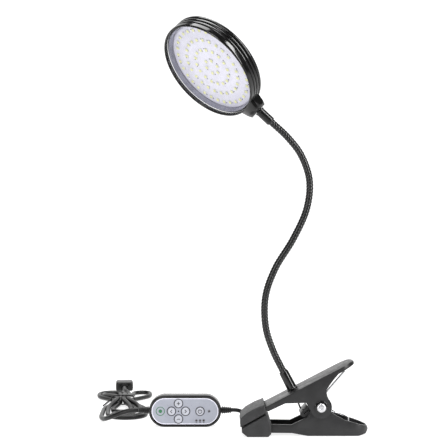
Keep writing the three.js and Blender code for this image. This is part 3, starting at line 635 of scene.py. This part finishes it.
def make_rivet():
    mesh = bmesh.new()
    dimple = [(0, 0.2), (1.1, 0.25), (1.25, 0.9)]
    dome = [(1.5, 1.15), (2.4, 1.05), (3.0, 0.6), (3.2, 0)]
    head = [(r, RIVET_OUT + y) for r, y in dimple + dome]
    pin = [(1.8, RIVET_OUT), (1.8, -RIVET_OUT)]
    profile = head + pin + [(r, -y) for r, y in reversed(head)]
    add_turned(mesh, profile, PIVOT @ ALONG_Y)
    mesh_piece("rivet", mesh, "bright_steel", "base", ["pivot_rivet"])
    for side, node in ((-1, "washer_front"), (1, "washer_rear")):
        ring = bmesh.new()
        loop = [(2.1, 12.6), (4.3, 12.6), (4.5, 12.75), (4.5, 13.05), (4.3, 13.2), (2.1, 13.2)]
        add_turned_ring(ring, [(r, y * side) for r, y in loop], PIVOT @ ALONG_Y)
        mesh_piece(node + "_disc", ring, "gloss_black", "base", [node])


def spring_path():
    """Down one leg, round the coil and out along the other leg."""
    first = math.radians(LOWER_SLOPE)
    second = math.radians(UPPER_SLOPE + UPPER_TILT)
    centre = mm(0, 0, PIVOT_Z)
    begin = first - math.pi / 2
    finish = second + math.pi / 2 - 2 * math.pi * SPRING_TURNS
    steps = 200
    coil = []
    for i in range(steps + 1):
        share = i / steps
        a = begin + (finish - begin) * share
        y = SPRING_Y * (1 - 2 * share)
        coil.append(centre + mm(SPRING_R * math.cos(a), y, SPRING_R * math.sin(a)))
    lower_way = Vector((math.cos(first), 0, math.sin(first)))
    upper_way = Vector((math.cos(second), 0, math.sin(second)))
    tip = coil[0] + lower_way * LOWER_LEG * MM
    hook = [tip + mm(0.6, 0, -4.2), tip + mm(0.45, 0, -1.2), tip + mm(0.2, 0, -0.3)]
    lower_leg = [tip.lerp(coil[0], share) for share in (0.03, 0.1, 0.5, 0.9)]
    upper_leg = [coil[-1] + upper_way * UPPER_LEG * MM * share for share in (0.1, 0.5, 0.9, 1.0)]
    return hook + lower_leg + coil + upper_leg


def make_spring():
    mesh = bmesh.new()
    add_tube(mesh, spring_path(), SPRING_WIRE, 12)
    piece = mesh_piece("spring_wire", mesh, "bright_steel", smooth=60)
    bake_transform(piece)
    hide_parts("torsion_spring")


def make_lead():
    mesh = bmesh.new()
    points = centripetal([mm(-15.4, 0, 23.5), mm(-14.7, 0, 20.8), mm(-13.2, 0, 17)], 10)
    add_tube(mesh, points, LEAD_R, 12)
    piece = mesh_piece("thin_lead", mesh, "cord_sheath", smooth=60)
    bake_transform(piece)
    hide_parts("lead_wire")


def make_gland():
    mesh = bmesh.new()
    profile = [(0, 6), (2.2, 6), (2.2, 10.3), (3.1, 10.3), (3.3, 10.5)]
    profile += [(3.3, 11.3), (3.1, 11.5), (2.3, 11.8)]
    for i in range(4):
        y = 12.2 + i * 1.2
        r = 2.25 - 0.1 * i
        profile += [(r, y), (r, y + 0.7), (r - 0.25, y + 0.8), (r - 0.25, y + 1.1)]
    profile += [(1.75, 17), (0, 17)]
    add_turned(mesh, profile, Matrix.Translation(mm(GLAND_X, 0, GLAND_Z)) @ ALONG_Y, 40)
    mesh_piece("gland", mesh, "cord_sheath", "base", ["cord_gland"])


def ferrule_profile(start, end, stud, foot):
    """A turned sleeve with a flange of radius foot, a rounded mouth and a bore for the neck."""
    return [
        (0, start - stud),
        (2, start - stud),
        (2, start),
        (foot - 0.2, start),
        (foot, start + 0.2),
        (foot, start + 0.9),
        (foot - 0.2, start + 1.1),
        (foot - 0.4, start + 1.25),
        (3.25, end - 1),
        (3.15, end - 0.5),
        (3.0, end - 0.1),
        (2.9, end),
        (2.85, end - 0.3),
        (2.85, end - 5),
        (0, end - 5),
    ]


def make_lower_ferrule():
    mesh = bmesh.new()
    profile = ferrule_profile(start=18, end=32, stud=6, foot=3.9)
    add_turned(mesh, profile, UPPER @ Matrix.Translation(mm(NECK_FOOT, 0, 0)))
    mesh_piece("ferrule_low", mesh, "ferrule_black", "clip_upper", ["lower_ferrule"])


make_arms()
make_rivet()
make_spring()
make_lead()
make_gland()
make_lower_ferrule()

# ---- lamp head, in a frame whose +Z is where the light goes and +X points to the neck ----
HEAD_REACH = 44.5
HEAD_DEPTH = 13.8
FERRULE_OUT = 11.2
NECK_LEVEL = -6.1
BEZEL_BACK = -3.3
HOUSING_FRONT = -3.6
CAVITY_FLOOR = -12
LED_SHEET = -6.5
LED_RINGS = [(5.5, 6), (14, 16), (22, 24), (29.8, 32)]  # radius and count
LIGHT_WAY = Vector((-0.588, -0.485, -0.639))


def head_frame():
    end, inward = neck_at(NECK_LENGTH)
    light = LIGHT_WAY.normalized()
    outward = -inward
    outward = (outward - light * outward.dot(light)).normalized()
    sideways = light.cross(outward)
    centre = end - outward * (HEAD_REACH + FERRULE_OUT) * MM - light * NECK_LEVEL * MM
    turn = Matrix((outward, sideways, light)).transposed().to_4x4()
    return Matrix.Translation(centre) @ turn


HEAD = head_frame()


def add_neck_block(mesh, z0, z1, inner):
    """The chamfered block on the rim that takes the neck's ferrule."""
    plan = [(inner, -8.5), (41.8, -6.2), (44.2, -4.2), (44.2, 4.2), (41.8, 6.2), (inner, 8.5)]
    soft = 0.35
    rings = []
    for inset, z in ((soft, z0), (0, z0 + soft), (0, z1 - soft), (soft, z1)):
        rings.append([HEAD @ mm(x - inset, y * (1 - inset / 8), z) for x, y in plan])
    add_rings(mesh, rings)


def make_housing():
    mesh = bmesh.new()
    back = -HEAD_DEPTH
    profile = [(0, back), (30, back), (32.6, back + 0.15), (34.8, back + 0.6)]
    profile += [(35.8, back + 1.1), (36.4, back + 1.4)]
    ribs = 3
    first = back + 1.8
    pitch = (HOUSING_FRONT - first) / ribs
    for i in range(ribs):
        z = first + i * pitch
        profile += [(36.5, z), (37.2, z + 0.15), (37.45, z + 0.5), (37.5, z + 1.1)]
        profile += [(37.45, z + pitch - 1.0), (37.2, z + pitch - 0.6), (36.5, z + pitch - 0.45)]
    profile += [(36.5, HOUSING_FRONT), (35.6, HOUSING_FRONT)]
    profile += [(35.6, CAVITY_FLOOR), (0, CAVITY_FLOOR)]
    add_turned(mesh, profile, HEAD, 128)
    add_neck_block(mesh, -10.6, HOUSING_FRONT, 35.8)
    mesh_piece("head_shell", mesh, "gloss_black", "head", ["head_housing"], smooth=50)


def make_bezel():
    mesh = bmesh.new()
    loop = [(36.3, -0.7), (36.3, -0.15), (36.45, 0), (36.75, 0), (37.05, -0.1)]
    loop += [(37.3, -0.35), (37.45, -0.75), (37.5, -1.2)]
    loop += [(37.5, BEZEL_BACK), (36.7, BEZEL_BACK), (36.7, -0.7)]
    add_turned_ring(mesh, loop, HEAD, 128)
    add_neck_block(mesh, BEZEL_BACK, -0.6, 36.9)
    mesh_piece("head_rim", mesh, "gloss_black", "head", ["head_bezel"], smooth=50)


def make_lens():
    mesh = bmesh.new()
    disc = [(0, -2.4), (36.3, -2.4), (36.4, -2.2), (36.4, -1.2), (36.2, -1), (0, -1)]
    add_turned(mesh, disc, HEAD, 128)
    mesh_piece("lens_disc", mesh, "lens_clear", "head", ["lens"])


def make_wall():
    mesh = bmesh.new()
    add_turned_ring(mesh, [(34.2, LED_SHEET), (35.3, LED_SHEET), (35.3, -2.7), (35, -2.7)], HEAD, 128)
    mesh_piece("inner_wall", mesh, "wall_lavender", "head", ["reflector_wall"])


def led_places():
    for ring, (radius, count) in enumerate(LED_RINGS):
        for i in range(count):
            turn = Matrix.Rotation(2 * math.pi * i / count, 4, "Z")
            yield ring, i, HEAD @ turn @ Matrix.Translation(mm(radius, 0, LED_SHEET))


def make_leds():
    sheet = bmesh.new()
    disc = [(0, -6.8), (33.8, -6.8), (33.8, -6.55), (33.7, LED_SHEET), (0, LED_SHEET)]
    add_turned(sheet, disc, HEAD, 96)
    mesh_piece("led_sheet", sheet, "board_white", "head")
    packages = bmesh.new()
    domes = bmesh.new()
    shadow_dots = bmesh.new()
    dome = [(0, 0.45), (1.0, 0.45), (0.98, 0.6), (0.65, 0.72), (0.3, 0.78), (0, 0.79)]
    dot = [(0, -0.05), (0.42, -0.05), (0.42, 0.12), (0, 0.14)]
    for ring, i, place in led_places():
        add_box(packages, (-1.25, -1.0, -0.1), (1.25, 1.0, 0.55), place, 0.12)
        add_turned(domes, dome, place, 20)
        # Dark discs beside two LEDs in three are painted shadow: they stand in for the shade that small
        # parts cast on the board.
        if (i + ring) % 3:
            beside = place @ Matrix.Translation(mm(0.6, 1.9, 0))
            add_turned(shadow_dots, dot, beside, 12)
    mesh_piece("led_packages", packages, "led_package", "head", ["led_array"])
    mesh_piece("led_domes", domes, "led_package", "head", material="led_phosphor")
    # The painted shadow dots, in the print's dark ink.
    mesh_piece("painted_shadow_dots", shadow_dots, "led_package", "head", material="label_ink")


def make_upper_ferrule():
    mesh = bmesh.new()
    place = HEAD @ Matrix.Translation(mm(0, 0, NECK_LEVEL)) @ ALONG_X
    profile = ferrule_profile(start=HEAD_REACH, end=HEAD_REACH + FERRULE_OUT, stud=5.5, foot=3.6)
    add_turned(mesh, profile, place)
    mesh_piece("ferrule_high", mesh, "ferrule_black", "head", ["upper_ferrule"])


def add_cross_screw(mesh, place, r, height):
    """A pan head with a cross recess, its top towards +Z of place."""
    head = [(0, 0), (r, 0), (r, height * 0.45), (r * 0.8, height * 0.85), (0, height)]
    add_turned(mesh, head, place, 32)
    for turn in (0, math.pi / 2):
        slot = place @ Matrix.Rotation(turn, 4, "Z")
        add_box(mesh, (-r * 0.55, -r * 0.12, height * 0.9), (r * 0.55, r * 0.12, height * 1.04), slot)


def make_housing_screws():
    for i in range(3):
        angle = math.pi + i * 2 * math.pi / 3
        mesh = bmesh.new()
        back = Matrix.Translation(mm(27, 0, -HEAD_DEPTH - 0.3)) @ Matrix.Rotation(math.pi, 4, "X")
        add_cross_screw(mesh, HEAD @ Matrix.Rotation(angle, 4, "Z") @ back, 2.2, 0.9)
        mesh_piece(f"back_screw_{i + 1}", mesh, "bright_steel", "head", [f"housing_screw_{i + 1}"])


make_housing()
make_bezel()
make_lens()
make_wall()
make_leds()
make_upper_ferrule()
make_housing_screws()

# ---- controller, in a frame whose X is its length, Y its height and +Z its front ----
CONTROL_LENGTH = 51.5
CONTROL_HEIGHT = 22.6
CONTROL_CENTRE = mm(-93.7, 26, CONTROL_HEIGHT / 2)
CONTROL = Matrix.Translation(CONTROL_CENTRE) @ Matrix.Rotation(math.pi / 2, 4, "X")
LABEL_LENGTH = 47.3
LABEL_HEIGHT = 18.4
LABEL_FRONT = 5
PRINT_BACK = LABEL_FRONT - 0.02
PRINT_FRONT = LABEL_FRONT + 0.04
EMBLEM_X = -17.5
SIGN_FRONT = 5.9
BUTTON_R = 2.7
CROSS_X = -4.6  # middle of the four buttons
POWER_X = 10.7
BUTTONS = {
    "button_up": (CROSS_X, 5.5),
    "button_left": (CROSS_X - 5, 0),
    "button_right": (CROSS_X + 5, 0),
    "button_down": (CROSS_X, -5.5),
    "button_power": (POWER_X, 0),
}
WINDOW_ROW = (POWER_X - 2.6, POWER_X, POWER_X + 2.6)
WINDOWS = [(x, -6.6) for x in WINDOW_ROW] + [(17.1, 0)]


def make_case():
    front = bmesh.new()
    rim = [(0, -0.35), (0, 4.3), (0.12, 4.7), (0.4, 4.95), (0.7, 5), (1.7, 5), (1.9, 4.85), (1.9, 4.2)]
    add_stadium(front, CONTROL_LENGTH, CONTROL_HEIGHT, rim, CONTROL)
    case = mesh_piece("case_front", front, "gloss_black", "base", ["controller_front_case"], smooth=50)
    rear = bmesh.new()
    shell = [(1.4, -5), (0.7, -4.85), (0.25, -4.4), (0, -3.7), (0, -0.65)]
    add_stadium(rear, CONTROL_LENGTH, CONTROL_HEIGHT, shell, CONTROL)
    back = mesh_piece("case_rear", rear, "gloss_black", "base", ["controller_rear_case"], smooth=50)
    return [case, back]


def add_disc(mesh, x, y, radius, low, high, segments):
    """A flat round print on the controller's label."""
    place = CONTROL @ Matrix.Translation(mm(x, y, 0))
    add_turned(mesh, [(0, low), (radius, low), (radius, high), (0, high)], place, segments)


def add_print_ring(mesh, x, y, inner, outer):
    """A printed circle line."""
    place = CONTROL @ Matrix.Translation(mm(x, y, 0))
    loop = [(inner, PRINT_BACK), (outer, PRINT_BACK), (outer, PRINT_FRONT), (inner, PRINT_FRONT)]
    add_turned_ring(mesh, loop, place, 48)


def add_print_bar(mesh, x, y, length, width, turn, z):
    """A printed straight line; turn is in degrees."""
    place = CONTROL @ Matrix.Translation(mm(x, y, z)) @ Matrix.Rotation(math.radians(turn), 4, "Z")
    add_box(mesh, (-length / 2, -width / 2, -0.04), (length / 2, width / 2, 0.05), place)


def make_label():
    mesh = bmesh.new()
    plate = [(0, 4.35), (0, 4.9), (0.1, 5)]
    add_stadium(mesh, LABEL_LENGTH, LABEL_HEIGHT, plate, CONTROL)
    label = mesh_piece("label_plate", mesh, "label_grey", "base", ["controller_label"])
    ink = bmesh.new()
    for x, y in BUTTONS.values():
        add_print_ring(ink, x, y, BUTTON_R + 0.05, BUTTON_R + 0.65)
    add_disc(ink, CROSS_X, 0, 0.55, PRINT_BACK, LABEL_FRONT + 0.06, 16)
    for x, y in WINDOWS:
        add_print_ring(ink, x, y, 0.75, 0.95)
    for x in WINDOW_ROW:
        add_print_bar(ink, x, -8.1, 1.1, 0.4, 0, LABEL_FRONT)
    printing = mesh_piece("label_print", ink, "label_grey", "base", material="label_ink")
    edge = bmesh.new()
    back, front = LABEL_FRONT - 0.05, LABEL_FRONT + 0.03
    line = [(0, back), (0, front), (0.5, front), (0.5, back)]
    add_stadium_ring(edge, LABEL_LENGTH, LABEL_HEIGHT, line, CONTROL)
    border = mesh_piece("label_border", edge, "label_grey", "base", material="board_white")
    emblem = bmesh.new()
    add_print_ring(emblem, EMBLEM_X, 0, 2.7, 3.2)
    add_disc(emblem, EMBLEM_X, 0, 1.3, PRINT_BACK, PRINT_FRONT, 24)
    mark = mesh_piece("label_emblem", emblem, "circuit_green", "base")
    return [label, printing, border, mark]


def add_button_icon(mesh, name, x, y, z):
    """Plain generic signs: more, less, two arrowheads and a power sign."""
    if name in ("button_up", "button_down"):
        add_print_bar(mesh, x, y, 2.4, 0.5, 0, z)
    if name == "button_up":
        add_print_bar(mesh, x, y, 2.4, 0.5, 90, z)
    if name in ("button_left", "button_right"):
        way = 1 if name == "button_right" else -1
        add_print_bar(mesh, x + 0.1 * way, y + 0.55, 1.7, 0.48, -45 * way, z)
        add_print_bar(mesh, x + 0.1 * way, y - 0.55, 1.7, 0.48, 45 * way, z)
    if name == "button_power":
        add_print_bar(mesh, x, y + 0.85, 1.4, 0.45, 90, z)
        for k in range(11):
            turn = -235 + k * 29
            a = math.radians(turn)
            bar_x, bar_y = x + 1.3 * math.cos(a), y + 1.3 * math.sin(a)
            add_print_bar(mesh, bar_x, bar_y, 0.74, 0.42, turn + 90, z)


def make_buttons():
    made = []
    for name, (x, y) in BUTTONS.items():
        mesh = bmesh.new()
        profile = [(0, 1.3), (3.4, 1.3), (3.4, 2.6), (BUTTON_R, 2.6), (BUTTON_R, 5.5)]
        profile += [(2.62, 5.72), (2.4, 5.86), (0, SIGN_FRONT)]
        add_turned(mesh, profile, CONTROL @ Matrix.Translation(mm(x, y, 0)), 48)
        cap = mesh_piece(name + "_cap", mesh, "button_white", name, [name])
        icon = bmesh.new()
        add_button_icon(icon, name, x, y, SIGN_FRONT)
        sign = mesh_piece(name + "_sign", icon, "button_white", name, material="label_ink")
        made += [cap, sign]
    return made


def make_reliefs():
    made = []
    for side, node in ((1, "relief_lamp_side"), (-1, "relief_usb_side")):
        start = CONTROL_LENGTH / 2 + 0.3
        profile = [(0, start - 3.4), (1.9, start - 3.4), (1.9, start)]
        for i in range(5):
            z = start + i * 1.4
            r = 2.65 - 0.13 * i
            profile += [(r, z + 0.05), (r, z + 0.8), (r - 0.1, z + 0.9)]
            profile += [(r - 0.5, z + 0.95), (r - 0.5, z + 1.35)]
        profile.append((0, start + 7))
        place = CONTROL @ Matrix.Rotation(0 if side > 0 else math.pi, 4, "Z") @ ALONG_X
        mesh = bmesh.new()
        add_turned(mesh, profile, place, 40)
        made.append(mesh_piece(node + "_boot", mesh, "cord_sheath", "base", [node]))
    return made


def make_case_screws():
    made = []
    for side, node in ((-1, "case_screw_left"), (1, "case_screw_right")):
        mesh = bmesh.new()
        place = CONTROL @ Matrix.Translation(mm(side * 18, 0, -5.3)) @ Matrix.Rotation(math.pi, 4, "X")
        add_cross_screw(mesh, place, 1.8, 0.8)
        made.append(mesh_piece(node + "_head", mesh, "bright_steel", "base", [node]))
    return made


lamp_relief, usb_relief = make_reliefs()
control_pieces = make_case() + make_label() + make_buttons() + [lamp_relief] + make_case_screws()
control_pieces += [NODES["controller_board"], NODES["light_guide"]]

# ---- twist tie and USB plug, in the hank's axes ----
PLUG = HANK @ Matrix.Translation(mm(1.5, 0, 3.75))
PLUG_START = 64
BOOT_LENGTH = 4.8
MOULD_LENGTH = 15.5
TIE_WIRE = 0.42
TIE_MIDDLE = 4.15  # above the floor
TIE_HALF = (9.0, 3.7)  # to the side and up
TAIL_ROOT = Vector((-9.2, 0, 4.6))
TAIL_TIP = Vector((-15.2, -11, 1.4))
TAIL_TWIST = 7 * math.pi


def squared(value):
    """Pushes a sine or a cosine outwards, which makes a rounded rectangle of a circle."""
    return math.copysign(abs(value) ** 0.55, value)


def tie_loop(start):
    """One turn of the tie's wire round the strands, moving a little along them."""
    points = []
    for k in range(41):
        a = 2 * math.pi * k / 40
        side = TIE_HALF[0] * squared(math.cos(a))
        up = TIE_MIDDLE + TIE_HALF[1] * squared(math.sin(a))
        points.append(HANK @ mm(side, start + 0.5 * k / 40, up))
    return points


def tie_tail(phase):
    """One of the tie's two ends, twisted round the other."""
    points = []
    for k in range(33):
        share = k / 32
        a = phase + share * TAIL_TWIST
        out = Vector((TIE_WIRE * math.cos(a), 0, TIE_WIRE * math.sin(a)))
        points.append(HANK @ ((TAIL_ROOT.lerp(TAIL_TIP, share) + out) * MM))
    return points


def make_tie():
    """A wire tie twice round the strands, its two ends twisted together at the side."""
    mesh = bmesh.new()
    for points in (tie_loop(-0.85), tie_loop(0.35), tie_tail(0), tie_tail(math.pi)):
        add_tube(mesh, points, TIE_WIRE, 8)
    return mesh_piece("wire_tie", mesh, "cord_sheath", "base", ["twist_tie"], smooth=60)


def rounded_section(width, height, r, along, count=6):
    """A rounded rectangle across the plug, as points in metres."""
    points = []
    for sx, sz, start in ((1, -1, -90), (1, 1, 0), (-1, 1, 90), (-1, -1, 180)):
        for i in range(count + 1):
            a = math.radians(start + 90 * i / count)
            x = sx * (width / 2 - r) + r * math.cos(a)
            z = sz * (height / 2 - r) + r * math.sin(a)
            points.append(PLUG @ mm(x, along, z))
    return points


def make_mould():
    mesh = bmesh.new()
    y0 = PLUG_START + BOOT_LENGTH
    y1 = y0 + MOULD_LENGTH
    sections = [(11.6, 5.6, y0), (13.6, 6.9, y0 + 0.4), (14.6, 7.5, y0 + 1.4)]
    sections += [(14.6, 7.5, y1 - 0.5), (14.0, 6.9, y1)]
    add_rings(mesh, [rounded_section(w, h, 1.6, y) for w, h, y in sections])
    for i in range(4):
        y = PLUG_START + 0.05 + i * 1.2
        w = 5.2 + 0.35 * i
        add_rings(mesh, [rounded_section(w, w * 0.78, 1.2, end) for end in (y, y + 0.75)])
    core = [(4.6, 3.8, PLUG_START), (4.8, 4, y0 + 0.5)]
    add_rings(mesh, [rounded_section(w, h, 1.2, y) for w, h, y in core])
    for side in (-1, 1):
        for i in range(4):
            y = y0 + 4 + i * 2
            x = side * 7.3
            add_box(mesh, (x - 0.12, y, -1.8), (x + 0.12, y + 0.9, 1.8), PLUG, 0.08)
    return mesh_piece("plug_grip", mesh, "cord_sheath", "base", ["plug_mould"], smooth=45)


def make_plug():
    shell = softened("plug_shell", "plug_metal", 0.12, "base", 2)
    kept = [NODES[name] for name in ("plug_tongue", *[f"plug_contact_{i}" for i in range(1, 5)])]
    return [make_mould(), shell] + kept


usb_pieces = [usb_relief, make_tie()] + make_plug()


# ---- floor and lights ----
PAPER_FRONT = -2600
PAPER_BEND = 1500
PAPER_CURVE = 700
PAPER_TOP = 3200
PAPER_HALF = 3000
PAPER_DROP = 0.05  # below the lamp's lowest faces


def make_floor():
    """White paper on the table that curves up behind the lamp."""
    mesh = bmesh.new()
    profile = [(PAPER_FRONT, 0), (PAPER_BEND, 0)]
    for k in range(1, 17):
        a = math.radians(90 * k / 16)
        y = PAPER_BEND + PAPER_CURVE * math.sin(a)
        profile.append((y, PAPER_CURVE - PAPER_CURVE * math.cos(a)))
    profile.append((PAPER_BEND + PAPER_CURVE, PAPER_TOP))
    edges = (-PAPER_HALF, PAPER_HALF)
    rows = [[mesh.verts.new(mm(x, y, z - PAPER_DROP)) for x in edges] for y, z in profile]
    for a, b in zip(rows, rows[1:]):
        mesh.faces.new((a[0], a[1], b[1], b[0]))
    data = bpy.data.meshes.new("studio_floor")
    mesh.to_mesh(data)
    mesh.free()
    data.shade_smooth()
    paper = Shader("studio_paper", 0.8).colour(grey(0.34), grey(0.36), 400)
    paper.glow([(-0.2, 0.2), (-0.05, 0.8), (0.3, 0.85), (1.0, 1.0)])
    data.materials.append(paper.material)
    floor = bpy.data.objects.new("studio_floor", data)
    bpy.context.collection.objects.link(floor)


def add_light(name, place, target, width, height, power):
    """A rectangular light; place, target and sizes are in metres, power is in watts."""
    data = bpy.data.lights.new(name, "AREA")
    data.shape = "RECTANGLE"
    data.size = width
    data.size_y = height
    data.energy = power
    light = bpy.data.objects.new(name, data)
    light.location = place
    way = Vector(target) - Vector(place)
    light.rotation_euler = way.to_track_quat("-Z", "Y").to_euler()
    bpy.context.collection.objects.link(light)


def make_lights():
    aim = (-0.06, 0.03, 0.12)
    add_light("key_light", (-0.5, -0.95, 0.85), aim, 0.5, 0.7, 5)
    add_light("strip_light", (0.72, -0.62, 0.6), aim, 0.2, 1.1, 12)
    add_light("low_light", (-0.7, -0.7, 0.14), (-0.1, 0, 0.22), 0.3, 0.2, 2.2)
    add_light("top_light", (-0.15, 0.15, 1.2), aim, 0.8, 0.6, 11)
    world = bpy.data.worlds.new("studio_air")
    world.use_nodes = True
    world.node_tree.nodes["Background"].inputs["Color"].default_value = (1, 1, 1, 1)
    world.node_tree.nodes["Background"].inputs["Strength"].default_value = 0.12
    bpy.context.scene.world = world
    bpy.context.scene.view_settings.view_transform = "Standard"


make_floor()
make_lights()
